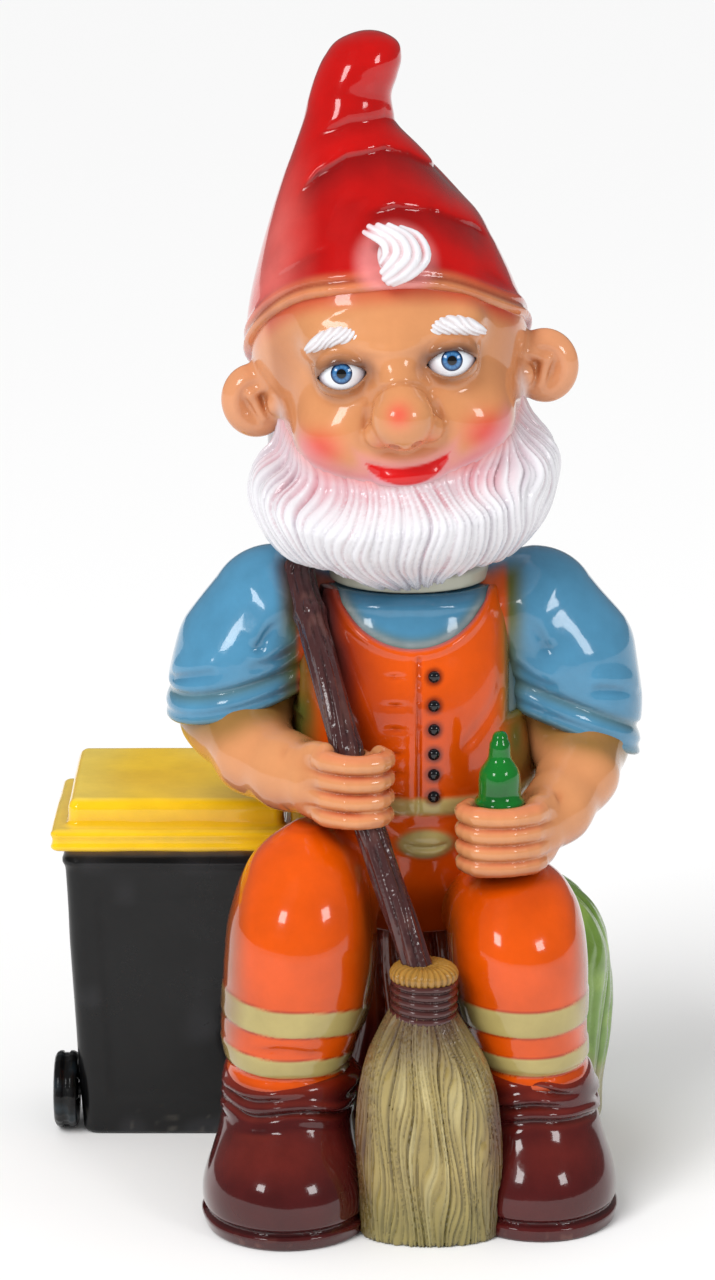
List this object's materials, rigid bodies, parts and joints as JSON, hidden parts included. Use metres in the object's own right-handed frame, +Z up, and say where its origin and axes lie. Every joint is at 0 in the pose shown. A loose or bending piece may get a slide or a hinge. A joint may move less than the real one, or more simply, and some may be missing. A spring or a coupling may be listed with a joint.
{
  "type": "garden gnome figure",
  "caption": "Seated garden gnome with a plug-in turning head, holding a broom and a bottle beside a wheeled bin, hollow glossy plastic.",
  "frame": {"origin": "on the floor under the middle of the figure, on the stump seat's flat foot", "axes": "+Z up, the figure looks along -Y, its right side (broom hand and bin) is at -X"},
  "size_m": [0.2253, 0.181, 0.43],
  "materials": {
    "hat": "red lacquer",
    "head_shell": "skin lacquer",
    "beard": "white lacquer",
    "back_hair": "white lacquer",
    "forelock": "white lacquer",
    "eyebrows": "white lacquer",
    "eyes": "polished",
    "shirt": "blue lacquer",
    "overalls": "orange lacquer",
    "buttons": "black lacquer",
    "hands": "skin lacquer",
    "boots": "maroon lacquer",
    "stump": "moss green lacquer",
    "stopper": "plain",
    "handle": "dark brown lacquer",
    "twig_collar": "ochre lacquer",
    "binding": "dark brown lacquer",
    "bristles": "straw lacquer",
    "bottle": "green lacquer",
    "bin": "black lacquer",
    "lid": "yellow lacquer"
  },
  "bodies": {
    "figure": {"shirt": "shirt", "overalls": "overalls", "bib_buttons": "buttons", "stump_seat": "stump", "broom_handle": "handle", "broom_collar": "twig_collar", "broom_binding": "binding", "broom_bristles": "bristles", "bottle": "bottle", "bin_body": "bin", "bin_lid": "lid", "bin_axle": "bin", "bin_wheel_outer": "bin", "bin_wheel_inner": "bin", "sleeve_right": "shirt", "forearm_right": "hands", "trouser_leg_right": "overalls", "boot_right": "boots", "sleeve_left": "shirt", "forearm_left": "hands", "trouser_leg_left": "overalls", "boot_left": "boots"},
    "head": {"head_shell": "head_shell", "hat": "hat", "beard": "beard", "back_hair": "back_hair", "forelock": "forelock", "eye_right": "eyes", "eye_left": "eyes", "eyebrow_right": "eyebrows", "eyebrow_left": "eyebrows"},
    "stopper": {"fill_hole_stopper": "stopper"}
  },
  "joints": [
    {"name": "head_turn", "type": "hinge", "parent": "figure", "child": "head", "pos_m": [-0.003, -0.002, 0.2212], "axis": [0, 0, 1], "range_deg": [-25, 25]},
    {"name": "stopper_pull", "type": "slide", "parent": "figure", "child": "stopper", "axis": [0, 0, -1], "range_m": [0, 0.012]}
  ]
}
